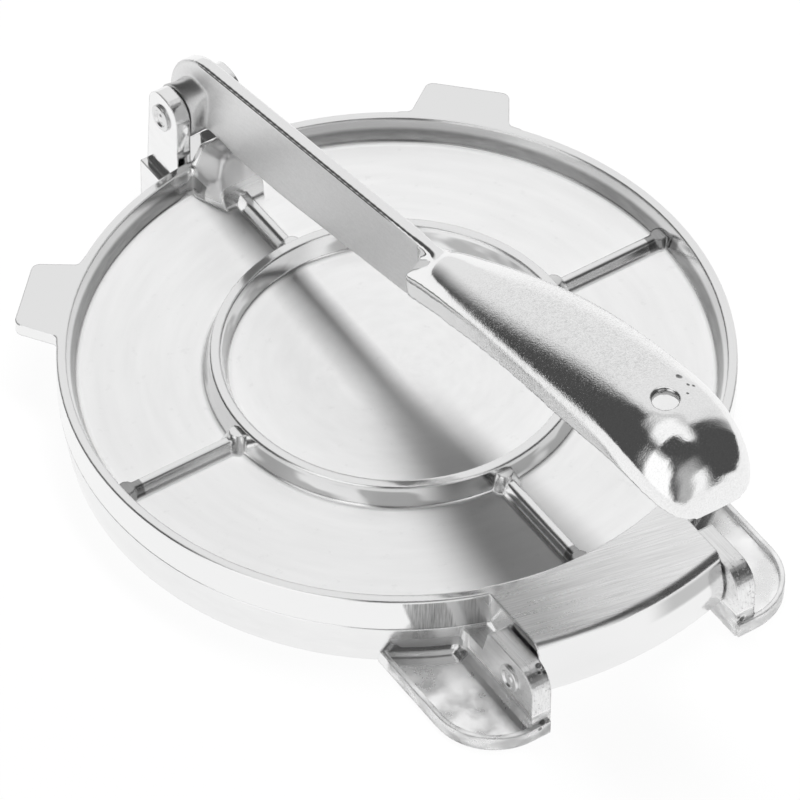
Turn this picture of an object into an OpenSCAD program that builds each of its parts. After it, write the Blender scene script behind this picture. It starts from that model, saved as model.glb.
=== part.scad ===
// Tortilla press of cast aluminium: a base plate on two feet, an upper plate hinged at the front,
// and a lever pinned at the back that lies over the upper plate and ends in a hollow handle.
// Axes: X runs along both pins, +Y from the handle's end to the lever's pin, +Z up.
// The origin lies on the table, at the middle of the whole press seen from above.

/* [Plates] */
// Diameter of both plates at the joint between them
plate_d = 206; // [180:1:240]
// Height of the joint between the plates above the table
base_h = 16.4; // [14:0.1:20]
// How far the base plate's side leans in from the joint down to the table
base_draft = 2.5; // [0:0.1:4]
// Thickness of the upper plate at its rim
upper_h = 12.1; // [10:0.1:16]
// Thickness of the floor of both plates
floor_t = 4; // [3:0.1:5]
// Width of the flat top of both rims
rim_w = 3; // [2:0.1:5]
// How far a rim's inner wall leans in between its top and the floor
rim_lean = 3; // [1:0.1:5]
// Mean diameter of the round stiffening ring
ring_d = 110; // [80:1:130]
// Width of the ring's flat crest
ring_w = 3.2; // [2:0.1:6]
// How far each wall of the ring leans between its crest and the floor
ring_lean = 2; // [1:0.1:3]
// How far the ring's crest lies under the rim's top
ring_drop = 0.5; // [0:0.1:2]
// Width of each rib between the ring and the rim
rib_w = 5; // [3:0.1:8]
// Height of each rib above the floor
rib_h = 4; // [2:0.1:5]
// Number of ribs on each plate
rib_count = 4; // [4:4:8]
// Radius of the blends where walls stand on a floor
blend_r = 2; // [1:0.1:3]
// Radius of the broken outer edges
edge_r = 0.6; // [0.3:0.1:1]

/* [Tabs] */
// Angle of each tab from the hinge side's centre line
tab_angle = 45; // [40:1:50]
// Reach of a tab past the plate's edge
tab_reach = 12.8; // [8:0.1:18]
// Length of a tab's straight outer edge between its corners
tab_w = 26; // [20:1:30]
// Width of a tab where it leaves the plate
tab_root_w = 31; // [28:1:36]
// Thickness of a tab
tab_t = 4.2; // [3:0.1:6]
// Radius of a tab's corners
tab_corner_r = 2.8; // [1:0.1:5]

/* [Front hinge] */
// Width of the upper plate's tongue
tongue_w = 65.6; // [50:0.1:80]
// How far the tongue's flat top reaches past the plate's edge
tongue_flat = 22.3; // [20:0.1:24]
// How far the tongue's rolled front reaches past the plate's edge
tongue_reach = 25.6; // [24:0.1:27]
// Height of the tongue's lower edge above the table
tongue_low = 6.5; // [5:0.1:9]
// Distance of the hinge pin's axis from the plate's edge
hinge_reach = 16; // [14:0.1:17]
// Height of the hinge pin's axis above the table
hinge_z = 16; // [14:0.1:17]
// Diameter of the hinge pin
hinge_pin_d = 8; // [6:0.1:9]
// Diameter of the peened ends of the hinge pin
hinge_head_d = 9; // [8.6:0.1:11]
// Radial clearance of both pins in what turns on them
pin_clearance = 0.08; // [0.02:0.01:0.1]
// Gap between the tongue and each ear
tongue_side_gap = 0.6; // [0.4:0.1:1]
// Thickness of each front ear
ear_t = 6.6; // [5:0.1:9]
// Height of the top of the front ears above the table
ear_top = 24.6; // [23:0.1:26]
// How far the front ears reach past the plate's edge
ear_reach = 27.5; // [25:0.1:29]
// Radius of the front ears' upper front corner
ear_corner_r = 8; // [4:0.1:9]

/* [Feet] */
// Width of a foot beside its ear
foot_w = 20.6; // [16:0.1:30]
// Thickness of a foot at its lip
foot_t = 5; // [4:0.1:6]
// Depth of the dish in a foot's top
foot_dish = 2; // [1:0.1:2.5]
// Width of the lip round the dish
foot_lip = 1.5; // [1:0.1:3]
// Length of a foot from its front edge back under the plate
foot_l = 51; // [45:0.5:60]
// Radius of a foot's outer front corner
foot_corner_r = 20; // [12:0.5:20]
// Width of the fillet between a foot and its ear's web
web_fillet_w = 2.4; // [1:0.1:4]
// Height of the fillet between a foot and its ear's web
web_fillet_h = 4.1; // [2:0.1:6]
// Width of the fillet between a foot and the base's rim
rim_fillet_w = 0.9; // [0.5:0.1:2]
// Height of the fillet between a foot and the base's rim
rim_fillet_h = 3.8; // [2:0.1:5]
// Radius of the upright corner between an ear's web and the rim
corner_fillet = 5; // [3:0.5:7]

/* [Lever pivot] */
// Distance of the lever pin's axis from the plate's edge
pivot_reach = 9.4; // [9.2:0.1:12]
// Height of the lever pin's axis above the table
pivot_z = 41; // [40:0.1:43]
// Diameter of the lever pin
lever_pin_d = 8; // [6:0.1:9]
// Diameter of the peened ends of the lever pin
lever_head_d = 9; // [8.6:0.1:11]
// Length of each peened pin end outside its ear
head_t = 1; // [0.6:0.1:2]
// Width of the lever's barrel on its pin
barrel_w = 14; // [11:0.1:18]
// Outer radius of the lever's barrel
barrel_r = 9.2; // [8:0.1:9.2]
// Gap between the barrel and each rear ear
barrel_side_gap = 0.3; // [0.2:0.1:0.6]
// Thickness of each rear ear
yoke_t = 4.9; // [4:0.1:7]
// Radius of the round top of the rear ears
yoke_r = 9; // [7:0.1:9]
// Width of the lug that the rear ears stand on
lug_w = 29; // [26:0.1:36]
// How far the lug reaches past the lever pin's axis
lug_back = 9.2; // [6:0.1:12]

/* [Nose] */
// Half width of the nose at its foot, under the lever
nose_foot_w = 11.5; // [9:0.1:14]
// Half width of the nose's crown
nose_crown_w = 4.6; // [3:0.1:7]
// Height of the nose's front above the rim's top
nose_h = 10.8; // [6:0.1:10.8]
// How much lower the nose's crown is at its rear end
nose_fall = 3.2; // [2.6:0.1:4]
// Rounding of the nose's crown
nose_r = 2.4; // [1:0.1:3]
// Distance of the nose's rear face from the plate's edge
nose_back = 1.9; // [1.5:0.1:3]
// Length of the nose's crown
nose_l = 12.5; // [9:0.1:14]
// Length of the slope from the crown down to the floor
nose_slope = 4.5; // [3:0.1:8]

/* [Lever] */
// Slope of the lever at rest
lever_slope = 10.8; // [10.4:0.1:12]
// Thickness of the lever's bar
bar_t = 4.5; // [3:0.1:8]
// Height of the bar's top edge over the pin's axis, square to the lever
bar_top = 21.3; // [18:0.1:24]
// Depth of the bar's lower edge under the pin's axis, square to the lever
bar_low = 4.2; // [3:0.1:4.2]
// Swell of the bar's lower edge where it lies on the nose
bar_belly = 2.1; // [1:0.1:2.1]
// Distance of the heel's centre from the pin's axis, along the lever
heel_u = 13.8; // [12:0.1:15]
// Reach of the tapered boss in front of the pin's axis, along the lever
cheek_l = 13.2; // [11:0.1:16]
// Height of the tapered boss over the pin's axis
cheek_h = 13; // [11:0.1:16]

/* [Handle] */
// Distance of the handle's neck from the pin's axis, along the lever
neck_u = 132; // [110:1:150]
// Length of the handle shell
handle_l = 149.2; // [120:0.1:160]
// Width of the handle shell at its widest
handle_w = 37; // [30:0.5:44]
// Width of the handle shell at its neck
handle_neck_w = 17; // [12:0.5:22]
// Wall of the handle shell
handle_wall = 3; // [2:0.1:4]
// Thickness of the shell's closed end at the neck
neck_wall = 8; // [6:0.5:12]
// Height of the shell's crown over the pin's axis, square to the lever
crown_top = 37.3; // [32:0.1:40]
// Height of the crown near the neck, where it rises out of the bar
crown_neck = 20; // [18:0.1:22]
// Height of the crown's lowest point, over the edge at the tip
crown_tip = 13; // [12:0.1:17]
// Height of the shell's lower edge over the pin's axis at its highest
edge_top = 20.7; // [18:0.1:22]
// Height of the lower edge at the neck
edge_neck = 4; // [0:0.1:5]
// Height of the lower edge at the tip
edge_tip = 9.2; // [5:0.1:10]
// Height of the shell's upright skirt at its neck
skirt_h = 8; // [3:0.1:10]
// Diameter of the hanging hole
hang_d = 7.6; // [5:0.1:10]
// Distance of the hanging hole from the handle's tip, along the lever
hang_back = 23.6; // [16:0.1:28]

/* [Hidden] */
round_fn = 96;
// steps round a corner: few on small radii, more on broad ones
corner_steps = 6;
fine_share = 0.6;
broad_r = 10;
plate_r = plate_d / 2;
parting_z = base_h;
top_z = base_h + upper_h;
hinge_y = -plate_r - hinge_reach;
pivot_y = plate_r + pivot_reach;
ear_in = tongue_w / 2 + tongue_side_gap;
ear_out = ear_in + ear_t;
ear_front_y = -plate_r - ear_reach;
yoke_in = barrel_w / 2 + barrel_side_gap;
yoke_out = yoke_in + yoke_t;
tip_u = neck_u + handle_l;
hinge_bore_d = hinge_pin_d + 2 * pin_clearance;
lever_bore_d = lever_pin_d + 2 * pin_clearance;
wall_mid_r = plate_r - base_draft - rim_w / 2;
bar_under = -bar_low - bar_belly;
heel_r = bar_top + bar_low;
// steps along the handle and over its crown
handle_steps = 32;
arch_steps = 20;
// where the handle's tip starts and its neck ends, as shares of its length
tip_share = 0.755;
neck_share = 0.1;
// how blunt the tip is from the side and from above
tip_power = 2.3;
plan_power = 3.8;
// the press is centred on the origin between the handle's tip and the lever's heel
tip_y = pivot_y - tip_u * cos(lever_slope) + edge_tip * sin(lever_slope);
heel_y = pivot_y - heel_u * cos(lever_slope) - bar_low * sin(lever_slope) + heel_r;
centre_y = -(tip_y + heel_y) / 2;
// overlap that joins the forms of one casting
bite = 0.5;
metal = "Silver";

// Points of an arc that rounds the corner at b between a and c
function corner(a, b, c, r) =
    let (
        ua = (a - b) / norm(a - b),
        uc = (c - b) / norm(c - b),
        half = acos(max(-1, min(1, ua * uc))) / 2,
        back = r / tan(half),
        axis = (ua + uc) / norm(ua + uc),
        centre = b + axis * (r / sin(half)),
        start = b + ua * back - centre,
        turn = cross([ua[0], ua[1], 0], [uc[0], uc[1], 0])[2] > 0 ? 1 : -1,
        sweep = 180 - 2 * half,
        steps = ceil(corner_steps * (fine_share + r / broad_r))
    )
    [for (i = [0:steps])
        let (t = -turn * sweep * i / steps)
        centre + [start[0] * cos(t) - start[1] * sin(t), start[0] * sin(t) + start[1] * cos(t)]];

// An outline from corners [x, y, radius]; a radius of 0 leaves the corner sharp
function rounded(p) =
    [for (i = [0:len(p) - 1])
        let (
            n = len(p),
            a = [p[(i + n - 1) % n][0], p[(i + n - 1) % n][1]],
            b = [p[i][0], p[i][1]],
            c = [p[(i + 1) % n][0], p[(i + 1) % n][1]]
        )
        each p[i][2] > 0 ? corner(a, b, c, p[i][2]) : [b]];

// Stands an outline drawn as [y, z] up in the YZ plane, t wide and centred on x
module side_plate(x, t) {
    translate([x, 0, 0])
        rotate([90, 0, 90])
            linear_extrude(t, center = true)
                children();
}

// Turns an outline drawn as [along, square] to the lever into place, t wide
module on_lever() {
    translate([0, pivot_y, pivot_z])
        rotate([-lever_slope, 0, 0])
            rotate([90, 0, -90])
                children();
}

// Half profile of a plate h high that is dished from above: floor, ring and rim
function dish_profile(h, draft) =
    let (
        floor_z = floor_t,
        crest_z = h - ring_drop,
        r_out = ring_d / 2 + ring_w / 2,
        r_in = ring_d / 2 - ring_w / 2,
        r_rim = plate_r - rim_w - draft
    )
    rounded([
        [0, 0, 0],
        [plate_r, 0, edge_r / 2],
        [plate_r - draft, h, edge_r],
        [r_rim, h, edge_r],
        [r_rim - rim_lean, floor_z, blend_r],
        [r_out + ring_lean, floor_z, blend_r],
        [r_out, crest_z, edge_r],
        [r_in, crest_z, edge_r],
        [r_in - ring_lean, floor_z, blend_r],
        [0, floor_z, 0]
    ]);

// Half-round ribs that join the ring to the rim on a plate's floor
module ribs(h) {
    inner_r = ring_d / 2;
    outer_r = plate_r - rim_w - rim_lean / 2;
    for (i = [0:rib_count - 1])
        rotate([0, 0, i * 360 / rib_count])
            translate([inner_r, 0, 0])
                rotate([90, 0, 90])
                    linear_extrude(outer_r - inner_r)
                        polygon(rounded([
                            [-rib_w / 2 - rib_h / 4, floor_t - bite, 0],
                            [-rib_w / 2 - rib_h / 4, floor_t, 0],
                            [-rib_w / 2, floor_t + rib_h / 3, blend_r / 2],
                            [-rib_w / 4, floor_t + rib_h, rib_w / 4],
                            [rib_w / 4, floor_t + rib_h, rib_w / 4],
                            [rib_w / 2, floor_t + rib_h / 3, blend_r / 2],
                            [rib_w / 2 + rib_h / 4, floor_t, 0],
                            [rib_w / 2 + rib_h / 4, floor_t - bite, 0]
                        ]));
}

// Flared fillets where the ribs run into the ring and into the rim
module rib_ends(h) {
    ring_side = ring_d / 2 + ring_w / 2 + ring_lean / 2;
    rim_side = plate_r - rim_w - rim_lean;
    flare_h = h - ring_drop - floor_t - blend_r;
    for (i = [0:rib_count - 1])
        rotate([0, 0, i * 360 / rib_count]) {
            translate([ring_side, 0, floor_t - bite])
                cylinder(r1 = rib_w + bite, r2 = rib_w / 2, h = flare_h + bite, $fn = round_fn / 2);
            translate([rim_side, 0, floor_t - bite])
                cylinder(r1 = rib_w * 0.8, r2 = rib_w / 2, h = rib_h + bite, $fn = round_fn / 2);
        }
}

// One dished casting: the revolved plate with its ribs
module dish(h, draft) {
    rotate_extrude($fn = round_fn)
        polygon(dish_profile(h, draft));
    ribs(h);
    rib_ends(h);
}

// One tab, flush with the rim's top, reaching out from the plate's edge
module tab() {
    root = plate_r - 4;
    out = plate_r + tab_reach;
    fillet_r = 4;
    translate([0, 0, top_z - tab_t])
        linear_extrude(tab_t)
            difference() {
                polygon(rounded([
                    [-tab_root_w / 2 - fillet_r, root - bite, 0],
                    [-tab_root_w / 2 - fillet_r, root + 2, 0],
                    [-tab_root_w / 2, plate_r - 1, fillet_r / 2],
                    [-tab_w / 2, out, tab_corner_r],
                    [tab_w / 2, out, tab_corner_r],
                    [tab_root_w / 2, plate_r - 1, fillet_r / 2],
                    [tab_root_w / 2 + fillet_r, root + 2, 0],
                    [tab_root_w / 2 + fillet_r, root - bite, 0]
                ]));
                circle(r = plate_r - rim_w / 2, $fn = round_fn);
            }
}

// The tongue: a flat top that rolls down over the hinge pin, bulging with the plate's curve
module tongue() {
    root_r = plate_r - rim_w;
    flat_r = plate_r + tongue_flat;
    front_r = plate_r + tongue_reach;
    roll = front_r - flat_r;
    intersection() {
        rotate_extrude($fn = 2 * round_fn)
            polygon(rounded([
                [root_r, parting_z + bite, 0],
                [plate_r + 1.5, parting_z + bite, 0],
                [plate_r + hinge_reach - 6, tongue_low + 2, 3],
                [plate_r + hinge_reach - 2, tongue_low, 3],
                [front_r - 1, tongue_low, 5],
                [front_r + 0.4, parting_z, 12],
                [flat_r + 0.6, top_z, roll],
                [root_r, top_z, 0]
            ]));
        translate([-tongue_w / 2, -2 * plate_r, 0])
            cube([tongue_w, 1.5 * plate_r, 2 * top_z]);
    }
}

// The nose that the lever presses on: a hump that rises from the rim, upright behind, with
// leaning flanks that draw in towards the rib in front of it
module nose() {
    back_y = plate_r - nose_back;
    crown_y = back_y - nose_l;
    foot_y = crown_y - nose_slope;
    floor_z = parting_z + floor_t;
    foot_z = floor_z - bite;
    crest_z = top_z + nose_h;
    shoulder_w = (nose_foot_w + nose_crown_w) / 2 + 1.6;
    intersection() {
        side_plate(0, 2 * nose_foot_w)
            polygon(rounded([
                [foot_y - 2, foot_z, 0],
                [back_y, foot_z, 0],
                [back_y, crest_z - nose_fall, nose_r],
                [crown_y, crest_z, nose_r],
                [crown_y - nose_slope * 0.6, top_z, 2 * nose_r],
                [foot_y, floor_z, nose_r],
                [foot_y - 2, floor_z, 0]
            ]));
        translate([0, back_y + bite, 0])
            rotate([90, 0, 0])
                linear_extrude(nose_l + nose_slope + 3 + bite)
                    polygon(rounded([
                        [-nose_foot_w, foot_z, 0],
                        [-nose_foot_w, floor_z, 0],
                        [-shoulder_w, top_z - 2, 4],
                        [-shoulder_w + 0.6, top_z + 1, 2],
                        [-nose_crown_w, crest_z, nose_r],
                        [nose_crown_w, crest_z, nose_r],
                        [shoulder_w - 0.6, top_z + 1, 2],
                        [shoulder_w, top_z - 2, 4],
                        [nose_foot_w, floor_z, 0],
                        [nose_foot_w, foot_z, 0]
                    ]));
        linear_extrude(crest_z + 1)
            polygon(rounded([
                [-nose_foot_w - 1, back_y, 0],
                [-nose_foot_w - 1, back_y - nose_l * 0.3, 6],
                [-nose_crown_w - 1.5, foot_y - 2, 3],
                [nose_crown_w + 1.5, foot_y - 2, 3],
                [nose_foot_w + 1, back_y - nose_l * 0.3, 6],
                [nose_foot_w + 1, back_y, 0]
            ]));
    }
}

module upper_plate() {
    color(metal)
        translate([0, centre_y, 0])
            difference() {
                union() {
                    translate([0, 0, parting_z])
                        dish(upper_h, 0);
                    for (side = [-1, 1])
                        rotate([0, 0, -side * tab_angle])
                            tab();
                    tongue();
                    nose();
                }
                translate([0, hinge_y, hinge_z])
                    rotate([0, 90, 0])
                        cylinder(d = hinge_bore_d, h = tongue_w + 2, center = true, $fn = round_fn);
            }
}

// A foot beside a front ear: a dished flange with a raised lip and a rounded outer corner
module foot(side) {
    floor_z = foot_t - foot_dish;
    rim_r = plate_r - base_draft;
    corner_y = -sqrt(rim_r * rim_r - ear_out * ear_out);
    front = ear_front_y - 1;
    back = front + foot_l;
    out = ear_out + foot_w;
    difference() {
        linear_extrude(foot_t)
            polygon(rounded([
                [side * (ear_in + bite), front, 0],
                [side * out, front, foot_corner_r],
                [side * out, back, 0],
                [side * (ear_in + bite), back, 0]
            ]));
        translate([0, 0, floor_z])
            linear_extrude(foot_t)
                polygon(rounded([
                    [side * ear_out, front + foot_lip, 0],
                    [side * (out - foot_lip), front + foot_lip, foot_corner_r - foot_lip],
                    [side * (out - foot_lip), back - foot_lip, 0],
                    [side * ear_out, back - foot_lip, 0]
                ]));
    }
    // the steep fillet along the ear's web
    translate([0, front + foot_lip, floor_z - bite])
        mirror([side > 0 ? 0 : 1, 0, 0])
            rotate([-90, 0, 0])
                mirror([0, 1, 0])
                    linear_extrude(corner_y - front - foot_lip)
                        polygon([
                            [ear_out - bite, 0],
                            [ear_out + web_fillet_w + bite / 2, 0],
                            [ear_out + web_fillet_w * 0.4, bite + web_fillet_h * 0.4],
                            [ear_out, bite + web_fillet_h],
                            [ear_out - bite, bite + web_fillet_h]
                        ]);
    // the upright fillet in the corner between the web and the base's rim
    linear_extrude(parting_z - 1.4)
        polygon(rounded([
            [side * (ear_out - bite), corner_y + 1, 0],
            [side * (ear_out - bite), corner_y - corner_fillet, 0],
            [side * ear_out, corner_y - corner_fillet, 0],
            [side * (ear_out + 0.6), corner_y - 0.4, corner_fillet * 0.7],
            [side * (ear_out + corner_fillet), corner_y + corner_fillet * 0.36, 0],
            [side * (ear_out + corner_fillet * 0.6), corner_y + corner_fillet, 0]
        ]));
}

// The fillet where both feet meet the base's rim
module foot_ridge() {
    floor_z = foot_t - foot_dish;
    rim_r = plate_r - base_draft;
    back = ear_front_y - 1 + foot_l;
    intersection() {
        rotate_extrude($fn = 2 * round_fn)
            polygon([
                [rim_r - rim_w, 0],
                [rim_r + rim_fillet_w + 0.4, 0],
                [rim_r + rim_fillet_w + 0.4, floor_z],
                [rim_r + rim_fillet_w * 0.6, floor_z + rim_fillet_h * 0.4],
                [rim_r + 0.5, floor_z + rim_fillet_h],
                [rim_r - rim_w, floor_z + rim_fillet_h]
            ]);
        for (side = [-1, 1])
            linear_extrude(parting_z)
                polygon([
                    [side * ear_out, -plate_r],
                    [side * (ear_out + foot_w), -plate_r],
                    [side * (ear_out + foot_w), back],
                    [side * ear_out, back]
                ]);
    }
}

// A front ear: a flat web that carries the hinge pin and runs back into the base
module front_ear(side) {
    back_y = -sqrt(plate_r * plate_r - ear_in * ear_in) + 6;
    side_plate(side * (ear_in + ear_t / 2), ear_t)
        polygon(rounded([
            [ear_front_y, 0, 0],
            [back_y, 0, 0],
            [back_y, parting_z - 1.2, 0],
            [-plate_r - 1.8, parting_z - 1.2, 0],
            [-plate_r - 4.2, ear_top, 2],
            [ear_front_y, ear_top, ear_corner_r]
        ]));
}

// The lug and two ears that hold the lever's pin
module yoke() {
    lug_y = pivot_y + lug_back;
    ear_front = pivot_y - yoke_r + 0.4;
    root_y = plate_r - base_draft - rim_w;
    translate([-lug_w / 2, root_y, 0])
        cube([lug_w, lug_y - root_y, parting_z]);
    for (side = [-1, 1])
        side_plate(side * (yoke_in + yoke_t / 2), yoke_t)
            polygon(rounded([
                [ear_front, parting_z - bite, 0],
                [lug_y - 0.5, parting_z - bite, 0],
                [pivot_y + yoke_r * 0.75, pivot_z + yoke_r, yoke_r * 0.75],
                [ear_front, pivot_z + yoke_r, yoke_r * 0.75]
            ]));
}

module base_plate() {
    color(metal)
        translate([0, centre_y, 0])
            difference() {
                union() {
                    translate([0, 0, base_h])
                        mirror([0, 0, 1])
                            dish(base_h, base_draft);
                    difference() {
                        union() {
                            for (side = [-1, 1]) {
                                foot(side);
                                front_ear(side);
                            }
                            foot_ridge();
                            yoke();
                        }
                        // the feet, ears and lug end in the rim, clear of the hollow underside
                        translate([0, 0, -bite])
                            cylinder(r = wall_mid_r, h = base_h - floor_t / 2, $fn = 2 * round_fn);
                    }
                }
                translate([0, hinge_y, hinge_z])
                    rotate([0, 90, 0])
                        cylinder(d = hinge_pin_d, h = 2 * ear_out + 2, center = true, $fn = round_fn);
                translate([0, pivot_y, pivot_z])
                    rotate([0, 90, 0])
                        cylinder(d = lever_pin_d, h = 2 * yoke_out + 2, center = true, $fn = round_fn);
            }
}

// Share from 0 to 1 along the handle, spaced closer at both ends
function along(i) = (1 - cos(180 * i / handle_steps)) / 2;
// Eases from 0 to 1 as t does
function rise(t) = sin(90 * max(0, min(1, t)));
// Falls from 1 to 0 like the quarter of a blunt oval
function blunt(t, power) = pow(max(0, 1 - pow(max(0, min(1, t)), power)), 1 / power);
// How far a share t of the handle lies into its tip, from 0 to 1
function tip_part(t) = max(0, (t - tip_share) / (1 - tip_share));
// Half width, crown, lower edge and skirt of the shell at a share t of its length
function shell_half_w(t) =
    let (full = handle_neck_w + (handle_w - handle_neck_w) * rise(t / 0.75))
    full / 2 * max(0.2, blunt(tip_part(t), plan_power));
function shell_crown(t) =
    let (neck_dip = (bar_top - crown_neck + 3) * (1 - rise(t / neck_share)))
    t < tip_share
        ? crown_neck - neck_dip + (crown_top - crown_neck) * rise(t / tip_share)
        : crown_tip + (crown_top - crown_tip) * blunt(tip_part(t), tip_power);
function shell_edge(t) =
    edge_neck + (edge_top - edge_neck) * rise(t / 0.58) - (edge_top - edge_tip) * pow(tip_part(t), 2.6);
function shell_skirt(t) = skirt_h * (1 - 0.5 * t) * (1 - 0.7 * pow(tip_part(t), 2));
function shell_power(t) = 1.4 + 0.55 * rise(t / tip_share);

// One arch of the shell, inset by a wall and set back from its ends: an upright skirt on both
// sides of a crown
function arch(share, inset, neck_back) =
    let (
        u = neck_u + neck_back + share * (handle_l - neck_back - inset),
        t = (u - neck_u) / handle_l,
        w = shell_half_w(t) - inset,
        low = shell_edge(t),
        ridge = low + shell_skirt(t),
        high = shell_crown(t) - inset,
        crown = [for (j = [0:arch_steps])
            let (
                a = 180 * j / arch_steps,
                c = pow(abs(cos(a)), 2 / shell_power(t)) * (cos(a) < 0 ? -1 : 1),
                s = pow(abs(sin(a)), 2 / shell_power(t))
            )
            [u, ridge + (high - ridge) * s, w * c]]
    )
    concat([[u, low, w]], crown, [[u, low, -w]]);

module handle_shell() {
    // an arch's points, counted from its first at one edge to its last at the other
    row = arch_steps + 3;
    tail = row - 1;
    rings = handle_steps + 1;
    outer = [for (i = [0:handle_steps]) each arch(along(i), 0, 0)];
    inner = [for (i = [0:handle_steps]) each arch(along(i), handle_wall, neck_wall)];
    base = rings * row;
    last = handle_steps * row;
    // both skins, each quad as two triangles
    skins = [for (i = [0:handle_steps - 1], j = [0:tail - 1])
        let (a = i * row + j, b = a + 1, c = a + row, d = c + 1)
        each [[a, b, c], [b, d, c], [base + a, base + c, base + b], [base + b, base + c, base + d]]];
    // the flat lower edge on both sides
    lips = [for (i = [0:handle_steps - 1])
        let (a = i * row, c = a + row, e = a + tail, g = c + tail)
        each [
            [a, c, base + a], [c, base + c, base + a],
            [e, base + e, g], [g, base + e, base + g]
        ]];
    // fans that close both skins at the neck and at the tip
    fans = [for (j = [1:tail - 1])
        each [
            [0, j + 1, j], [last, last + j, last + j + 1],
            [base, base + j, base + j + 1], [base + last, base + last + j + 1, base + last + j]
        ]];
    // the lower edge across the neck and the tip
    ends = [
        [0, base + tail, tail], [0, base, base + tail],
        [last, last + tail, base + last], [last + tail, base + last + tail, base + last]
    ];
    polyhedron(points = concat(outer, inner), faces = concat(skins, lips, fans, ends), convexity = 6);
}

// The lever's bar, which runs into the shell and dies away under its crown
module bar() {
    end_u = neck_u + handle_l * 0.3;
    // how far the bar's edges keep on past the neck, and where its lower edge starts to rise
    neck_run = handle_w / 3;
    linear_extrude(bar_t, center = true)
        union() {
            polygon([
                [0, -bar_low],
                [heel_u, -bar_low],
                [2 * heel_u, bar_under],
                [4.2 * heel_u, bar_under],
                [neck_u - neck_run, -bar_low],
                [neck_u + neck_run / 3, -bar_low + handle_wall / 2],
                [end_u - neck_run, edge_top - 2 * handle_wall],
                [end_u, bar_top + handle_wall / 3],
                [neck_u + neck_run, bar_top],
                [heel_u, bar_top],
                [0, bar_top - bar_low]
            ]);
            intersection() {
                translate([heel_u, -bar_low])
                    circle(r = heel_r, $fn = round_fn);
                translate([heel_u - heel_r, -bar_low])
                    square([heel_r, heel_r + bar_low]);
            }
        }
}

// The barrel on the lever's pin, which tapers to a wider outline where it meets the bar
module cheek() {
    face_t = 0.5;
    for (side = [0, 1])
        mirror([0, 0, side])
            hull() {
                translate([0, 0, barrel_w / 2 - face_t])
                    cylinder(r = barrel_r, h = face_t, $fn = round_fn);
                linear_extrude(bar_t / 2)
                    polygon(rounded([
                        [0, -bar_low, 0],
                        [cheek_l * 0.65, -bar_low, 0],
                        [cheek_l * 0.8, 2, 3],
                        [cheek_l, cheek_h - 0.8, 1.5],
                        [cheek_l * 0.4, cheek_h + 0.4, 4],
                        [-cheek_l * 0.3, cheek_h * 0.4, 3]
                    ]));
            }
}

module lever() {
    hang_u = tip_u - hang_back;
    color(metal)
        translate([0, centre_y, 0])
            on_lever()
                difference() {
                    union() {
                        bar();
                        cheek();
                        handle_shell();
                    }
                    cylinder(d = lever_bore_d, h = barrel_w + 2, center = true, $fn = round_fn);
                    translate([hang_u, edge_top, 0])
                        rotate([-90, 0, 0])
                            cylinder(d = hang_d, h = crown_top, $fn = round_fn);
                }
}

// A plain pin whose ends are peened over outside its ears
module peened_pin(pin_d, head_d, grip) {
    rotate([0, 90, 0]) {
        cylinder(d = pin_d, h = grip, center = true, $fn = round_fn);
        for (end = [-1, 1])
            rotate([end > 0 ? 0 : 180, 0, 0])
                translate([0, 0, grip / 2])
                    rotate_extrude($fn = round_fn)
                        polygon(rounded([
                            [0, 0, 0],
                            [head_d / 2, 0, 0],
                            [head_d / 2, head_t, head_t * 0.6],
                            [head_d * 0.34, head_t, head_t * 0.2],
                            [head_d * 0.27, head_t * 0.35, 0],
                            [head_d * 0.2, head_t * 0.35, 0],
                            [head_d * 0.12, head_t * 0.8, head_t * 0.2],
                            [0, head_t * 0.8, 0]
                        ]));
    }
}

module hinge_pin() {
    color("Gainsboro")
        translate([0, centre_y + hinge_y, hinge_z])
            peened_pin(hinge_pin_d, hinge_head_d, 2 * ear_out);
}

module lever_pin() {
    color("Gainsboro")
        translate([0, centre_y + pivot_y, pivot_z])
            peened_pin(lever_pin_d, lever_head_d, 2 * yoke_out);
}

base_plate();
upper_plate();
lever();
hinge_pin();
lever_pin();
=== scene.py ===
# Looks of the tortilla press: polished cast aluminium on a white sweep
import math

import bmesh
import bpy
from mathutils import Matrix, Vector


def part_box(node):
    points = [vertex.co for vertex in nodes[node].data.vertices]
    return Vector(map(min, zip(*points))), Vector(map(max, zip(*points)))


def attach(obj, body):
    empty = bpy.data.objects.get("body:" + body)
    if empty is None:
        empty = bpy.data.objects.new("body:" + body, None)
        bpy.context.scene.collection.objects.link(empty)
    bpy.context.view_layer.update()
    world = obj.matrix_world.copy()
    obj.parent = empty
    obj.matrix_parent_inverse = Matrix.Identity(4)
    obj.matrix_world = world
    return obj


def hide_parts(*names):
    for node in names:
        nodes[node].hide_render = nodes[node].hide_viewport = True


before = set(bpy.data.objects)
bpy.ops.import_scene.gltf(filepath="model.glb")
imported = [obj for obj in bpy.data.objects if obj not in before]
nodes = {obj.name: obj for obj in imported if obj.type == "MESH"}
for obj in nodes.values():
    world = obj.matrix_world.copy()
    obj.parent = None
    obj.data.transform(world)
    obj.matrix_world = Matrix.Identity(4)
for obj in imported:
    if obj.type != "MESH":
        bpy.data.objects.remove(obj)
bpy.context.view_layer.update()

# Places on the press are in millimetres from the plates' centre and the table
milli = 1000  # millimetres in a metre
hingePin = (-119.0, 16.0)  # y and z of the pins' axes
leverPin = (112.4, 41.0)
pinLow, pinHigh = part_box("lever_pin")
discY = (pinLow.y + pinHigh.y) / 2 - leverPin[0] / milli  # the plates' centre, metres
bpy.context.scene.view_settings.view_transform = "Standard"
print("frame loaded:", ", ".join(sorted(nodes)), "plates' centre at y", round(discY, 5))


# A point of the frame as x, y and z on the press
def onPress(point):
    return point.x * milli, (point.y - discY) * milli, point.z * milli


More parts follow.
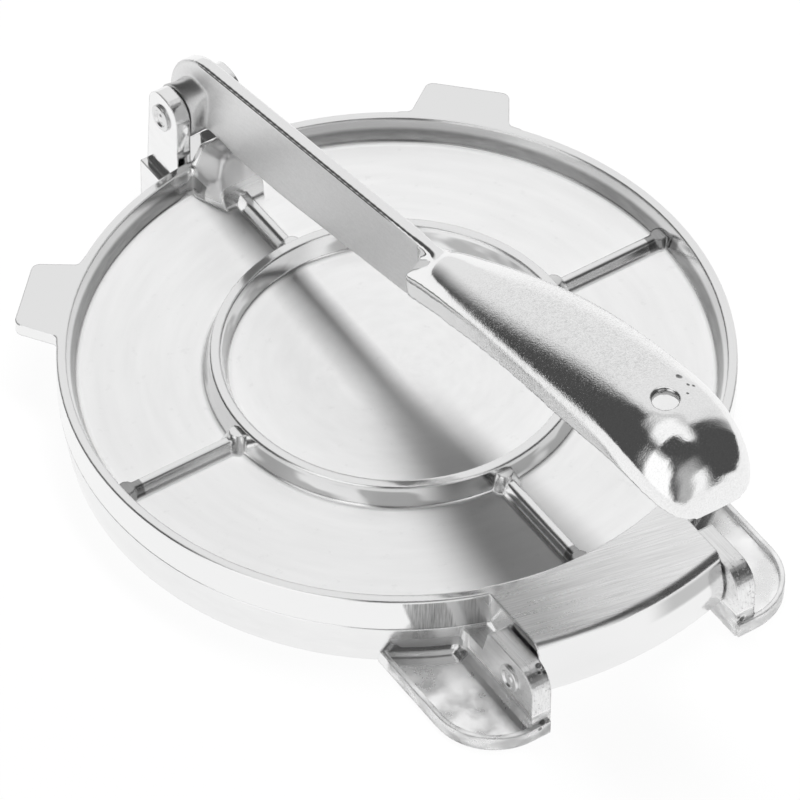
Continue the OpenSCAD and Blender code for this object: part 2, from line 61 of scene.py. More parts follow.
# Camera, from the fit to the photograph
cameraSet = {
    "azimuth": -34.61,
    "elevation": 46.41,
    "roll": 0.94,
    "distance": 2.2824,
    "lens": 340.44,
    "sensor": 36,
    "clip": (0.05, 50),
    "target": (-0.00652, -0.01139, 0.020),
}


def makeCamera(settings):
    data = bpy.data.cameras.new("camera")
    data.lens = settings["lens"]
    data.sensor_width = settings["sensor"]
    data.clip_start, data.clip_end = settings["clip"]
    camera = bpy.data.objects.new("camera", data)
    bpy.context.collection.objects.link(camera)
    az, el = math.radians(settings["azimuth"]), math.radians(settings["elevation"])
    back = Vector((math.sin(az) * math.cos(el), -math.cos(az) * math.cos(el), math.sin(el)))
    turn = (-back).to_track_quat("-Z", "Y").to_matrix().to_4x4()
    roll = Matrix.Rotation(math.radians(settings["roll"]), 4, "Z")
    target = Vector(settings["target"]) + Vector((0, discY, 0))
    camera.matrix_world = Matrix.Translation(target + back * settings["distance"]) @ turn @ roll
    bpy.context.scene.camera = camera


makeCamera(cameraSet)
print("camera placed")


# Shader maths as plain expressions: a Wire is one socket of a node tree
class Wire:
    def __init__(self, sheet, socket):
        self.sheet = sheet
        self.socket = socket

    def maths(self, kind, *others):
        return self.sheet.add("ShaderNodeMath", {"operation": kind}, dict(enumerate((self,) + others)))

    def __add__(self, other):
        return self.maths("ADD", other)

    def __radd__(self, other):
        return self.maths("ADD", other)

    def __sub__(self, other):
        return self.maths("SUBTRACT", other)

    def __rsub__(self, other):
        return self.sheet.add("ShaderNodeMath", {"operation": "SUBTRACT"}, {0: other, 1: self})

    def __mul__(self, other):
        return self.maths("MULTIPLY", other)

    def __rmul__(self, other):
        return self.maths("MULTIPLY", other)

    def __truediv__(self, other):
        return self.maths("DIVIDE", other)


# A node tree, with one method that adds any node to it
class Sheet:
    def __init__(self, tree):
        self.tree = tree

    def add(self, kind, settings=None, values=None, out=0):
        node = self.tree.nodes.new(kind)
        for key, value in (settings or {}).items():
            setattr(node, key, value)
        for key, value in (values or {}).items():
            if isinstance(value, Wire):
                self.tree.links.new(value.socket, node.inputs[key])
            else:
                node.inputs[key].default_value = value
        return Wire(self, node.outputs[out])

    def split(self, vector):
        first = self.add("ShaderNodeSeparateXYZ", values={0: vector})
        return [Wire(self, output) for output in first.socket.node.outputs]

    # From start to end as value goes from low to high
    def rise(self, value, low, high, start=0.0, end=1.0):
        return self.add("ShaderNodeMapRange", {"interpolation_type": "SMOOTHSTEP"},
                        {"Value": value, "From Min": low, "From Max": high, "To Min": start, "To Max": end})

    # From 1 down to end as value goes from low to high
    def fall(self, value, low, high, end=0.0):
        return self.rise(value, low, high, 1.0, end)

    # 1 between low and high, 0 outside, with soft ends
    def band(self, value, low, high, soft):
        return self.rise(value, low - soft, low + soft) * self.fall(value, high - soft, high + soft)

    # Noise at a spot, with so many cells a unit along each of its axes
    def noise(self, spot, scales, detail=2.0, rough=0.5):
        cells = {axis: part * scale for axis, (part, scale) in enumerate(zip(spot, scales))}
        return self.add("ShaderNodeTexNoise", {"noise_dimensions": "3D"},
                        {"Vector": self.add("ShaderNodeCombineXYZ", values=cells), "Scale": 1.0,
                         "Detail": detail, "Roughness": rough})

    # Where a shaded point lies on the press when it is closed
    def place(self):
        x, y, z = self.split(self.add("ShaderNodeTexCoord", out=3))
        return x * milli, (y - discY) * milli, z * milli


half = 0.5  # the middle of a noise's range


def distance(*sides):
    square = sides[0] * sides[0]
    for side in sides[1:]:
        square = square + side * side
    return square.maths("SQRT")


# Degrees round the plates from the front, towards +X
def roundPlate(x, y):
    return x.maths("ARCTAN2", 0 - y).maths("DEGREES")


# Studio: a white sweep behind, a softbox to the left and one overhead, unlit gaps between
studioSet = {
    "gap": 0.08,          # level of the unlit parts of the room
    "background": 1.0,
    "fill": 0.03,         # light from all round on dull surfaces
    # azimuth from +Y towards +X, half width, lowest, highest, softness in degrees, level
    "panels": [
        (38, 42, -90, 64, 9, 0.86),     # sweep behind the press
        (-110, 24, -10, 58, 7, 1.15),   # softbox on the left
        (-172, 22, -90, 50, 14, 0.50),  # open room in front
        (171, 10, -5, 30, 7, 1.05),     # small softbox in front
        (20, 110, 66, 95, 8, 1.05),     # softbox overhead
    ],
}


def makeStudio(settings):
    world = bpy.data.worlds.new("studio")
    world.use_nodes = True
    bpy.context.scene.world = world
    tree = world.node_tree
    sheet = Sheet(tree)
    x, y, z = sheet.split(sheet.add("ShaderNodeTexCoord"))
    azimuth = x.maths("ARCTAN2", y).maths("DEGREES")
    elevation = z.maths("ARCSINE").maths("DEGREES")
    level = settings["gap"]
    for middle, reach, lowest, highest, soft, value in settings["panels"]:
        across = (azimuth - middle).maths("WRAP", 180.0, -180.0)
        mask = sheet.band(across, -reach, reach, soft) * sheet.band(elevation, lowest, highest, soft)
        level = mask * value + (1 - mask) * level
    rays = sheet.add("ShaderNodeLightPath").socket.node.outputs
    seen = Wire(sheet, rays["Is Camera Ray"]).maths("MAXIMUM", Wire(sheet, rays["Is Transmission Ray"]))
    shiny = Wire(sheet, rays["Is Glossy Ray"])
    plain = (1 - shiny) * settings["fill"] + shiny * level
    strength = seen * settings["background"] + (1 - seen) * plain
    back = tree.nodes["Background"]
    back.inputs["Color"].default_value = (1, 1, 1, 1)
    tree.links.new(strength.socket, back.inputs["Strength"])


makeStudio(studioSet)

# A strip light overhead, which throws the lever's shadow on the dull floors of the dish
stripSet = {"height": 1.5, "middle": (0.215, 0.2), "size": (0.28, 1.1), "power": 24.0}


def makeStrip(settings):
    light = bpy.data.lights.new("strip", "AREA")
    light.shape = "RECTANGLE"
    light.size, light.size_y = settings["size"]
    light.energy = settings["power"]
    strip = bpy.data.objects.new("strip", light)
    bpy.context.collection.objects.link(strip)
    strip.location = (settings["middle"][0], settings["middle"][1] + discY, settings["height"])
    strip.visible_glossy = False


makeStrip(stripSet)

floorSet = {
    "size": 6.0,
    "drop": 0.0002,  # below the press, metres
    "color": 0.97,
    "glow": 0.95,    # share of plain white that the camera and mirrors see
    "level": 1.01,
}


def makeFloor(settings):
    bpy.ops.object.select_all(action="DESELECT")
    bpy.ops.mesh.primitive_plane_add(size=settings["size"], location=(0, 0, -settings["drop"]))
    floor = bpy.context.object
    floor.name = "floor"
    material = bpy.data.materials.new("floor")
    material.use_nodes = True
    tree = material.node_tree
    tree.nodes.remove(tree.nodes["Principled BSDF"])
    sheet = Sheet(tree)
    grey = (settings["color"],) * 3 + (1,)
    plain = sheet.add("ShaderNodeBsdfDiffuse", values={"Color": grey})
    glow = sheet.add("ShaderNodeEmission", values={"Color": (1, 1, 1, 1), "Strength": settings["level"]})
    rays = sheet.add("ShaderNodeLightPath").socket.node.outputs
    seen = Wire(sheet, rays["Is Camera Ray"]).maths("MAXIMUM", Wire(sheet, rays["Is Glossy Ray"]))
    both = sheet.add("ShaderNodeMixShader", values={0: seen * settings["glow"], 1: plain, 2: glow})
    tree.links.new(both.socket, tree.nodes["Material Output"].inputs["Surface"])
    floor.data.materials.append(material)


makeFloor(floorSet)
print("studio and floor made")

edgeSamples = 6


# A metal whose paint function gives its grey, roughness, height in millimetres and, where it
# scatters light as sanded metal does, its dullness
def makeMetal(name, settings, paint):
    material = bpy.data.materials.new(name)
    material.use_nodes = True
    sheet = Sheet(material.node_tree)
    shader = material.node_tree.nodes["Principled BSDF"]
    shader.inputs["Metallic"].default_value = 1.0
    grey, rough, height, *dull = paint(sheet, settings)
    for wire in dull:
        sheet.tree.links.new((1 - wire).socket, shader.inputs["Metallic"])
    soft = sheet.add("ShaderNodeBevel", {"samples": edgeSamples}, {"Radius": settings["edge"]})
    relief = sheet.add("ShaderNodeBump", values={"Strength": 1.0, "Distance": 1 / milli, "Height": height,
                                                 "Normal": soft})
    for socket, wire in (("Base Color", grey), ("Roughness", rough), ("Normal", relief)):
        sheet.tree.links.new(wire.socket, shader.inputs[socket])
    return material


pitSlope = (0.6, 1.3)  # shares of a pit's radius between which its wall rises


# 1 in a pit, for pits given as (x, y, z, radius), or with None for z where one goes right through
def pitMask(sheet, spot, pits):
    mask = 0
    for *middle, reach in pits:
        away = distance(*(part - place for part, place in zip(spot, middle) if place is not None))
        mask = sheet.fall(away, *(reach * share for share in pitSlope)) + mask
    return mask


# Upper plate: floors turned on a wheel, polished walls, a tongue brushed across.
# A noise is its cells a unit along each axis, its detail and its roughness.
# A stretch is where it starts and ends, with a softness where it has both.
upperSet = {
    "edge": 0.0009,          # radius of the edges in the shading, metres
    "weld": 0.00001,
    "angle": 35,             # edges over this stay sharp, degrees
    "pitch": 0.8,            # of the nose's mesh
    "noseRounds": 20,
    "noseSoft": [(-5, 15, 3), (85, 101.5, 2.5), (20.9, 60, 0.8)],  # along x, y and z, with margins
    "grey": 0.88,
    "rough": 0.10,
    "grain": ((1.6, 1.6, 1.6), 3.0, 0.6),
    "grainRough": 0.03,
    "grainRelief": 0.001,
    # floors
    "floorHeight": (20.6, 21.4),
    "floorRadius": (97, 99),
    "floorDark": 0.04,
    "floorRough": 0.16,
    "floorDull": 0.86,
    "arc": ((1 / 3.2, 3.5, 3.5), 3.0),    # a wave of the wheel each 3.2 mm
    "arcGrey": 0.10,
    "arcRough": 0.06,
    "arcRelief": 0.022,
    "fine": ((2.5, 16, 16), 2.0),
    "fineRelief": 0.002,
    "scuff": ((0.25, 0.25, 0.25), 4.0, 0.7),
    "scuffFrom": (0.60, 0.72),
    "scuffDark": 0.05,
    # rim's inner wall and ring, darker as painted dark reflections, and the nose, lighter as a painted
    # highlight
    "wallRadius": (92, 98.8, 0.3),
    "wallHeight": (21.2, 26.6, 0.3),
    "wallReflectionGrey": 0.36,
    "wallFleck": 0.2,
    "ringRadius": (40, 60, 0.5),
    "ringHeight": (21.2, 26.4, 0.3),
    "ringReflectionGrey": 0.50,
    "patch": ((2.4, 2.4, 0.12), 2.0),
    "patchFrom": (0.44, 0.56),
    "noseAcross": (-16, 16, 0.5),
    "noseFrom": (84, 87),
    "noseHeight": (22.0, 24.0),
    "noseRadius": (98.0, 99.5),
    "noseHighlight": 0.06,
    "noseRough": 0.22,
    "noseDull": 0.55,
    # tongue and its roll
    "frontFrom": (-100.5, -97.5),
    "frontAcross": (-33.4, 33.4, 0.2),
    "tongueHeight": (26.6, 27.9),
    "brushTurn": -0.212,     # how far the brush lines turn off the X axis, radians
    "brush": ((2.6, 0.06, 2.6), 4.0, 0.65),
    "brushGrey": 0.70,
    "brushFade": (-34, 34),  # gets paler across this
    "brushPale": 0.20,
    "brushStreak": 0.55,
    "brushRough": 0.28,
    "brushRelief": 0.016,
    "wide": ((0.5, 0.03, 0.5), 2.0),
    "wideRough": 0.25,
    "rollRough": 0.08,
    "rollRelief": 0.003,
    "shadeHeight": (21.0, 26.2, 0.8),
    "shadeAcross": (2, 14),
    "shadeDark": 0.35,
    # ground patch on the outer wall, beside the tongue, darker partly as a painted dark reflection
    "outerRadius": (102.2, 102.8),
    "outerHeight": (27.4, 27.9),
    "upright": ((3.4, 0.12, 0.1), 3.0, 0.6),
    "slant": (22, 0.16),     # height where it is plumb, degrees a millimetre
    "ragged": 1.2,
    "ground": (-31.5, -18, 0.3),
    "groundAndReflectionDark": 0.10,
    "groundRough": 0.20,
    "groundRelief": 0.03,
    "burns": [(-31.5, -24.5, 0.4, 1.0), (-22.5, -19.5, 0.4, 0.6)],  # stretch and strength
    "burnGrey": 0.9,
    "burnMiddle": 0.85,
}


def paintUpper(sheet, settings):
    spot = x, y, z = sheet.place()
    radius = distance(x, y)
    azimuth = roundPlate(x, y)
    grain = sheet.noise(spot, *settings["grain"])

    low = sheet.fall(z, *settings["floorHeight"]) * sheet.fall(radius, *settings["floorRadius"])
    wheel = (radius, x / radius, y / radius)
    arc = sheet.noise(wheel, *settings["arc"])
    fine = sheet.noise(wheel, *settings["fine"])
    scuff = sheet.rise(sheet.noise(spot, *settings["scuff"]), *settings["scuffFrom"])

    # painted dark reflection: the rim's inner wall darker
    innerWallReflection = sheet.band(radius, *settings["wallRadius"]) * sheet.band(z, *settings["wallHeight"])
    # painted dark reflections: the ring wall darker in patches
    patch = sheet.rise(sheet.noise((x / radius, y / radius, z), *settings["patch"]), *settings["patchFrom"])
    ringReflection = sheet.band(radius, *settings["ringRadius"]) * sheet.band(z, *settings["ringHeight"]) * patch
    # painted highlight: the nose lighter
    nose = (sheet.band(x, *settings["noseAcross"]) * sheet.rise(y, *settings["noseFrom"])
            * sheet.rise(z, *settings["noseHeight"]) * sheet.fall(radius, *settings["noseRadius"]))

    front = sheet.fall(y, *settings["frontFrom"]) * sheet.band(x, *settings["frontAcross"])
    tongue = front * sheet.rise(z, *settings["tongueHeight"])
    roll = front * (1 - tongue)
    cos, sin = math.cos(settings["brushTurn"]), math.sin(settings["brushTurn"])
    lines = (y * cos - x * sin, x * cos + y * sin, z)
    brush = sheet.noise(lines, *settings["brush"])
    wide = sheet.noise(lines, *settings["wide"])
    paler = sheet.rise(x, *settings["brushFade"]) * settings["brushPale"]
    shade = roll * sheet.band(z, *settings["shadeHeight"]) * sheet.rise(x, *settings["shadeAcross"])

    outer = (sheet.rise(radius, *settings["outerRadius"]) * sheet.fall(z, *settings["outerHeight"])
             * (1 - front))
    upright = sheet.noise((azimuth, z, radius), *settings["upright"])
    plumb, lean = settings["slant"]
    slant = azimuth + (z - plumb) * lean + upright * settings["ragged"]
    # scratched ground patch, darker partly as a painted dark reflection
    ground = outer * sheet.band(slant, *settings["ground"])
    burnt = 0
    for *stretch, strength in settings["burns"]:
        burnt = outer * sheet.band(slant, *stretch) * strength + burnt

    metal = settings["grey"]
    grey = (metal + low * (arc - half) * settings["arcGrey"]
            - low * (scuff * settings["scuffDark"] + settings["floorDark"])
            - innerWallReflection * (metal - settings["wallReflectionGrey"] + (fine - half) * settings["wallFleck"])
            - ringReflection * (metal - settings["ringReflectionGrey"]) + nose * settings["noseHighlight"]
            + tongue * (settings["brushGrey"] - metal + paler + (brush - half) * settings["brushStreak"])
            - ground * settings["groundAndReflectionDark"] - shade * settings["shadeDark"]
            + burnt * (upright - settings["burnMiddle"]) * settings["burnGrey"])
    rough = (settings["rough"] + grain * settings["grainRough"]
             + low * (settings["floorRough"] + arc * settings["arcRough"])
             + tongue * (settings["brushRough"] - settings["rough"] + (wide - half) * settings["wideRough"])
             + roll * wide * settings["rollRough"] + ground * settings["groundRough"]
             + nose * settings["noseRough"])
    height = (grain * settings["grainRelief"]
              + low * (arc * settings["arcRelief"] + fine * settings["fineRelief"])
              + roll * brush * settings["rollRelief"] + tongue * brush * settings["brushRelief"]
              + ground * upright * settings["groundRelief"])
    dull = low * settings["floorDull"] + nose * (1 - low) * settings["noseDull"]
    return grey, rough, height, dull


# Base plate: satin rim, cloudy feet, ears brushed along their tops, with casting pits
baseSet = {
    "edge": 0.0009,
    "grey": 0.88,
    "rough": 0.10,
    "grain": ((1.4, 1.4, 1.4), 3.0, 0.6),
    "grainRough": 0.03,
    "grainRelief": 0.001,
    "pits": [(-34.6, -125.5, 24.0, 0.9), (-33.8, -127.5, 22.8, 0.7), (-33.4, -126.2, 23.4, 0.5),
             (-35.4, -127.0, 23.0, 0.6), (-36.4, -130.5, 5.1, 1.0), (-37.7, -131.5, 3.8, 0.7),
             (35.7, -130.5, 6.1, 0.9), (34.5, -130.2, 7.4, 0.6)],
    "pitDark": 0.6,
    "pitDepth": 0.15,
    # outer wall, with a scratched patch that is darker partly as a painted dark reflection
    "wallRadius": (99.5, 103.2, 0.3),
    "wallHeight": (5.5, 16.0, 0.4),
    "turned": ((0.6, 0.05, 3.0), 3.0, 0.6),
    "wallRough": 0.06,
    "turnedRough": 0.12,
    "turnedRelief": 0.004,
    "patch": (-34.5, -23.0, 0.3),
    "patchSlant": (10, 0.5),
    "patchHeight": (7.2, 11.4, 0.2),
    "scratchAndReflectionDark": 0.16,
    "patchRough": 0.3,
    # ears, and the specks on their front ends
    "earFrom": (-99.0, -96.0),
    "earHeight": (9.0, 10.5),
    "lines": ((2.8, 0.09, 0.3), 4.0, 0.65),
    "lineMiddle": 0.55,
    "lineGrey": 0.5,
    "earRough": 0.12,
    "lineRough": 0.12,
    "lineRelief": 0.010,
    "frontFrom": (-123.0, -120.0),
    "speck": ((1.3, 1.3, 1.3), 4.0, 0.75),
    "speckFrom": (0.56, 0.68),
    "speckDark": 0.35,
    "speckRough": 0.2,
    "speckRelief": 0.04,
    # feet
    "footFrom": (-86.0, -84.0),
    "footRadius": (104.0, 106.0),
    "footHeight": (8.6, 9.4),
    "footRough": 0.14,
    "footDull": 0.15,
    "cloud": ((0.12, 0.12, 0.3), 3.0, 0.5),
    "cloudFrom": (0.3, 0.7),
    "cloudGrey": 0.06,
    "cloudRough": 0.1,
    "cloudRelief": 0.03,
    "cloudDull": 0.75,
}


def paintBase(sheet, settings):
    spot = x, y, z = sheet.place()
    radius = distance(x, y)
    azimuth = roundPlate(x, y)
    grain = sheet.noise(spot, *settings["grain"])
    pit = pitMask(sheet, spot, settings["pits"])

    wall = sheet.band(radius, *settings["wallRadius"]) * sheet.band(z, *settings["wallHeight"])
    turned = sheet.noise((radius, azimuth, z), *settings["turned"])
    plumb, lean = settings["patchSlant"]
    # scratched patch, darker partly as a painted dark reflection
    patch = (wall * sheet.band(azimuth + (z - plumb) * lean, *settings["patch"])
             * sheet.band(z, *settings["patchHeight"]))

    ear = sheet.fall(y, *settings["earFrom"]) * sheet.rise(z, *settings["earHeight"])
    lines = sheet.noise(spot, *settings["lines"])
    specks = sheet.rise(sheet.noise(spot, *settings["speck"]), *settings["speckFrom"])
    speck = ear * sheet.fall(y, *settings["frontFrom"]) * specks

    foot = (sheet.fall(y, *settings["footFrom"]) * sheet.rise(radius, *settings["footRadius"])
            * sheet.fall(z, *settings["footHeight"]))
    cloud = sheet.noise(spot, *settings["cloud"])
    cloudy = sheet.rise(cloud, *settings["cloudFrom"])

    grey = (settings["grey"] + ear * (lines - settings["lineMiddle"]) * settings["lineGrey"]
            - speck * settings["speckDark"] - pit * settings["pitDark"]
            + (cloud - half) * settings["cloudGrey"] - patch * settings["scratchAndReflectionDark"])
    rough = (settings["rough"] + grain * settings["grainRough"]
             + wall * (settings["wallRough"] + (turned - half) * settings["turnedRough"])
             + ear * (settings["earRough"] + lines * settings["lineRough"]) + speck * settings["speckRough"]
             + foot * (settings["footRough"] + cloudy * settings["cloudRough"])
             + patch * settings["patchRough"])
    height = (grain * settings["grainRelief"] + wall * turned * settings["turnedRelief"]
              + ear * lines * settings["lineRelief"] + speck * settings["speckRelief"]
              - pit * settings["pitDepth"] + cloudy * settings["cloudRelief"])
    return grey, rough, height, foot * (settings["footDull"] + cloudy * settings["cloudDull"])


# A merged copy of a CAD node's mesh, to soften and to ride in the node's place
def makeCopy(name, node, weld):
    bpy.ops.object.select_all(action="DESELECT")
    piece = bpy.data.objects.new(name, nodes[node].data.copy())
    bpy.context.collection.objects.link(piece)
    bpy.context.view_layer.objects.active = piece
    piece.select_set(True)
    bpy.ops.object.mode_set(mode="EDIT")
    bpy.ops.mesh.select_all(action="SELECT")
    bpy.ops.mesh.customdata_custom_splitnormals_clear()
    bpy.ops.mesh.remove_doubles(threshold=weld)
    bpy.ops.mesh.set_sharpness_by_angle(angle=math.radians(180))  # clears the sharp edges
    bpy.ops.object.mode_set(mode="OBJECT")
    return piece


# 0 outside low and high, rising to 1 a margin inside them
def within(value, low, high, margin):
    return max(0.0, min(1.0, (value - low) / margin, (high - value) / margin))


softenSet = {
    "splits": 8,      # most rounds of splitting long edges
    "longOver": 1.5,  # an edge is long at this share of the pitch
    "pull": 0.5,      # share of the way to the neighbours' middle, each round
}


# Rounds a casting's corners, where share(x, y, z on the press) is over 0
def soften(piece, share, pitch, rounds, settings):
    mesh = bmesh.new()
    mesh.from_mesh(piece.data)

    def freedom(point):
        return share(*onPress(point))

    longest = pitch / milli * settings["longOver"]
    for turn in range(settings["splits"]):
        long = []
        for edge in mesh.edges:
            start, end = (vert.co for vert in edge.verts)
            if edge.calc_length() > longest and max(map(freedom, (start, end, (start + end) / 2))) > 0:
                long.append(edge)
        if not long:
            break
        bmesh.ops.subdivide_edges(mesh, edges=long, cuts=1)
        bmesh.ops.triangulate(mesh, faces=[face for face in mesh.faces if len(face.verts) > 3])
    free = [(vert, freedom(vert.co) * settings["pull"], [edge.other_vert(vert) for edge in vert.link_edges])
            for vert in mesh.verts if freedom(vert.co) > 0]
    for turn in range(rounds):
        moved = [(vert, vert.co.lerp(sum((other.co for other in others), Vector()) / len(others), pull))
                 for vert, pull, others in free]
        for vert, place in moved:
            vert.co = place
    mesh.to_mesh(piece.data)
    mesh.free()


# Relaxes an even mesh, everywhere or where share(x, y, z on the press) is over 0
def relax(piece, rounds, pull, share=None):
    bpy.ops.object.modifier_add(type="SMOOTH")
    modifier = piece.modifiers[-1]
    modifier.factor = pull
    modifier.iterations = rounds
    if share:
        group = piece.vertex_groups.new(name="zone")
        for vert in piece.data.vertices:
            part = share(*onPress(vert.co))
            if part > 0:
                group.add([vert.index], part, "REPLACE")
        modifier.vertex_group = group.name
    bpy.ops.object.modifier_apply(modifier=modifier.name)
    if share:
        piece.vertex_groups.clear()


# Lever: satin bar, polished handle that keeps the sand's grain.
# Its own places are along the bar from the pin, and square to that.
leverSet = {
    "edge": 0.0007,
    "weld": 0.00002,
    "voxel": 0.0006,
    "pull": 0.5,                         # share of the way to the neighbours' middle, each round
    "evenRounds": 6,
    "handleSoft": (140, 300, 12),        # along the lever, with a margin
    "handleRounds": 12,
    "neckSoft": (127, 160, 6),
    "neckRounds": 30,
    "cheekSoft": (5.5, 30, 2),           # from the pin, with a margin
    "cheekSide": (2.7, 6.8, 1.2),
    "cheekEnd": 22,
    "cheekRounds": 26,
    "slope": 10.8,                       # at rest, degrees
    "grey": 0.88,
    "rough": 0.07,
    # bar
    "barSide": (1.75, 2.5, 0.1),
    "barHeight": (20.0, 20.9),
    "barEnd": (128.0, 134.0),
    "barGrey": 0.86,
    "barRough": 0.46,
    "satin": ((0.25, 0.9, 0.5), 4.0, 0.6),
    "satinGrey": 0.12,
    "satinRough": 0.2,
    "satinRelief": 0.01,
    "dots": ((1.6, 1.6, 1.6), 3.0, 0.7),
    "dotGrey": 0.16,
    "dotRelief": 0.006,
    "markHeight": (20.15, 21.0, 0.12),   # painted dark reflection: a line under the bar's top edge
    "markSide": (1.9, 2.2),
    "markOut": (2.6, 2.9),
    "markLength": (6, 116, 6),
    "edgeReflectionDark": 0.8,
    # boss round the pin, its grey darkened as a painted dark reflection
    "bossSide": (2.3, 2.6),
    "bossEnd": (20.0, 22.0),
    "bossReflectionGrey": 0.62,
    "bossDot": 0.2,
    "bossRough": 0.34,
    # handle
    "handleFrom": (134.0, 144.0),
    "sand": ((1.9, 1.9, 1.9), 2.0, 0.7),
    "sandMiddle": 0.52,
    "sandGrey": 0.8,
    "sandFrom": (0.5, 0.7),
    "sandRough": 0.30,
    "sandRelief": 0.055,
    "coarse": ((0.7, 0.7, 0.7), 2.0, 0.6),
    "coarseFrom": (0.36, 0.5),
    "coarseDark": 0.07,
    "coarseRelief": 0.02,
    "smoothRelief": (0.003, 0.006),      # of the sand and the coarse grain where they are polished
    "strongFrom": (150.0, 190.0),
    "strongTo": (238.0, 254.0, 0.3),     # with what is left of the grain past it
    "pits": [(9.3, -127.8, None, 1.0), (9.4, -132.0, None, 0.5), (6.8, -135.4, None, 0.4),
             (10.8, -132.8, None, 0.5)],
    "pitDark": 0.7,
    "pitDepth": 0.3,
    "hole": 257.6,                       # of the hanging hole, along the lever
    # painted shade: the hanging hole's wall darker
    "holeRadius": (3.8, 4.05),
    "holeShade": 0.5,
}


# How far a place is along the lever at rest, and square to it
def onLever(y, z, settings):
    cos, sin = math.cos(math.radians(settings["slope"])), math.sin(math.radians(settings["slope"]))
    away, over = leverPin[0] - y, z - leverPin[1]
    return away * cos + over * sin, over * cos - away * sin


def paintLever(sheet, settings):
    spot = x, y, z = sheet.place()
    along, square = onLever(y, z, settings)
    side = x.maths("ABSOLUTE")

    bar = (sheet.band(side, *settings["barSide"]) * sheet.fall(square, *settings["barHeight"])
           * sheet.fall(along, *settings["barEnd"]))
    satin = sheet.noise((along, square, x), *settings["satin"])
    dots = sheet.noise((along, square, x), *settings["dots"])
    # painted dark reflection of the bar's top edge
    edgeReflection = (sheet.band(square, *settings["markHeight"]) * sheet.rise(side, *settings["markSide"])
            * sheet.fall(side, *settings["markOut"]) * sheet.band(along, *settings["markLength"]))
    # painted dark reflection: the boss darker
    boss = sheet.rise(side, *settings["bossSide"]) * sheet.fall(along, *settings["bossEnd"])

    handle = sheet.rise(along, *settings["handleFrom"])
    strong = handle * sheet.rise(along, *settings["strongFrom"]) * sheet.fall(along, *settings["strongTo"])
    sand = sheet.noise(spot, *settings["sand"])
    coarse = sheet.noise(spot, *settings["coarse"])
    pit = pitMask(sheet, spot, settings["pits"]) * handle
    # painted shade inside the hanging hole
    hole = sheet.fall(distance(along - settings["hole"], x), *settings["holeRadius"]) * handle

    metal = settings["grey"]
    grey = (metal - pit * settings["pitDark"] - edgeReflection * settings["edgeReflectionDark"] - hole * settings["holeShade"]
            + bar * (settings["barGrey"] - metal + (satin - half) * settings["satinGrey"]
                     + (dots - half) * settings["dotGrey"])
            + boss * (settings["bossReflectionGrey"] - metal + (dots - half) * settings["bossDot"])
            + strong * ((sand - settings["sandMiddle"]) * settings["sandGrey"]
                        - sheet.fall(coarse, *settings["coarseFrom"]) * settings["coarseDark"]))
    rough = (settings["rough"]
             + bar * (settings["barRough"] - settings["rough"] + (satin - half) * settings["satinRough"])
             + boss * (settings["bossRough"] - settings["rough"])
             + strong * sheet.rise(sand, *settings["sandFrom"]) * settings["sandRough"])
    sandSmooth, coarseSmooth = settings["smoothRelief"]
    height = (handle * (sand * sandSmooth + coarse * coarseSmooth) - pit * settings["pitDepth"]
              + strong * (sand * settings["sandRelief"] + coarse * settings["coarseRelief"])
              + bar * (satin * settings["satinRelief"] + dots * settings["dotRelief"]))
    return grey, rough, height


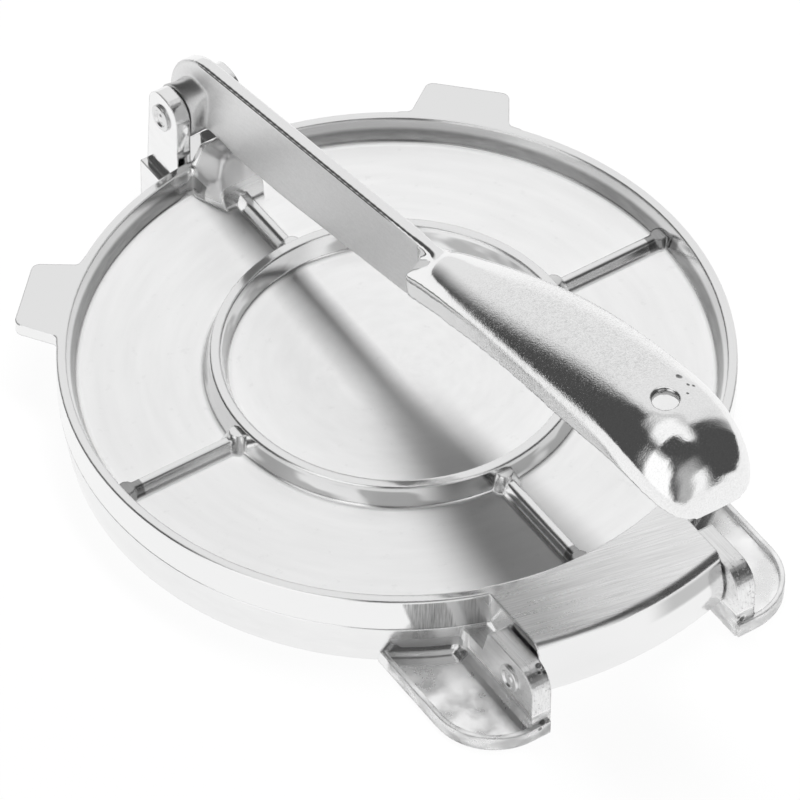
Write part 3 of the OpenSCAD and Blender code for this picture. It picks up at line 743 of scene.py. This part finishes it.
def makeLever(settings):
    piece = makeCopy("lever_casting", "lever", settings["weld"])

    def handleShare(x, y, z):
        return within(onLever(y, z, settings)[0], *settings["handleSoft"])

    def neckShare(x, y, z):
        return within(onLever(y, z, settings)[0], *settings["neckSoft"])

    def cheekShare(x, y, z):
        away = math.hypot(leverPin[0] - y, z - leverPin[1])
        if away >= settings["cheekEnd"]:
            return 0.0
        return within(away, *settings["cheekSoft"]) * within(abs(x), *settings["cheekSide"])

    bpy.ops.object.modifier_add(type="REMESH")
    piece.modifiers[-1].mode = "VOXEL"
    piece.modifiers[-1].voxel_size = settings["voxel"]
    bpy.ops.object.modifier_apply(modifier=piece.modifiers[-1].name)
    pull = settings["pull"]
    relax(piece, settings["evenRounds"], pull)
    relax(piece, settings["handleRounds"], pull, handleShare)
    relax(piece, settings["neckRounds"], pull, neckShare)
    relax(piece, settings["cheekRounds"], pull, cheekShare)
    bpy.ops.object.shade_smooth()
    piece.data.materials.clear()
    piece.data.materials.append(makeMetal("finish_lever", settings, paintLever))
    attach(piece, "lever")
    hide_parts("lever")
    print("lever made:", len(piece.data.polygons), "faces")


makeLever(leverSet)


def makeUpper(settings):
    piece = makeCopy("upper_casting", "upper_plate", settings["weld"])

    def noseShare(x, y, z):
        return math.prod(within(part, *soft) for part, soft in zip((abs(x), y, z), settings["noseSoft"]))

    soften(piece, noseShare, settings["pitch"], settings["noseRounds"], softenSet)
    bpy.ops.object.shade_smooth_by_angle(angle=math.radians(settings["angle"]))
    bpy.ops.object.modifier_add(type="WEIGHTED_NORMAL")
    piece.modifiers[-1].keep_sharp = True
    bpy.ops.object.modifier_apply(modifier=piece.modifiers[-1].name)
    piece.data.materials.clear()
    piece.data.materials.append(makeMetal("finish_upper_plate", settings, paintUpper))
    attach(piece, "upper")
    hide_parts("upper_plate")
    print("upper plate made:", len(piece.data.polygons), "faces")


makeUpper(upperSet)


# Pins: turned ends, peened over
pinSet = {
    "edge": 0.0003,
    "grey": 0.80,
    "rough": 0.20,
    "turned": ((3.0, 0.4, 1.0), 3.0, 0.6),
    "turnedGrey": 0.25,
    "turnedRough": 0.2,
    "turnedRelief": 0.02,
    "dents": ((0.9, 0.9, 0.9), 2.0, 0.5),
    "dentRelief": 0.05,
}


# The paint of a pin whose axis is at this y and z
def pinPaint(axisY, axisZ):
    def paint(sheet, settings):
        spot = x, y, z = sheet.place()
        turned = sheet.noise((distance(y - axisY, z - axisZ), x, 0.0), *settings["turned"])
        dents = sheet.noise(spot, *settings["dents"])
        grey = settings["grey"] + (turned - half) * settings["turnedGrey"]
        rough = settings["rough"] + turned * settings["turnedRough"]
        height = turned * settings["turnedRelief"] + dents * settings["dentRelief"]
        return grey, rough, height
    return paint


nodes["base_plate"].material_slots[0].material = makeMetal("finish_base_plate", baseSet, paintBase)
for name, axis in (("hinge_pin", hingePin), ("lever_pin", leverPin)):
    nodes[name].material_slots[0].material = makeMetal("finish_" + name, pinSet, pinPaint(*axis))
print("materials made")
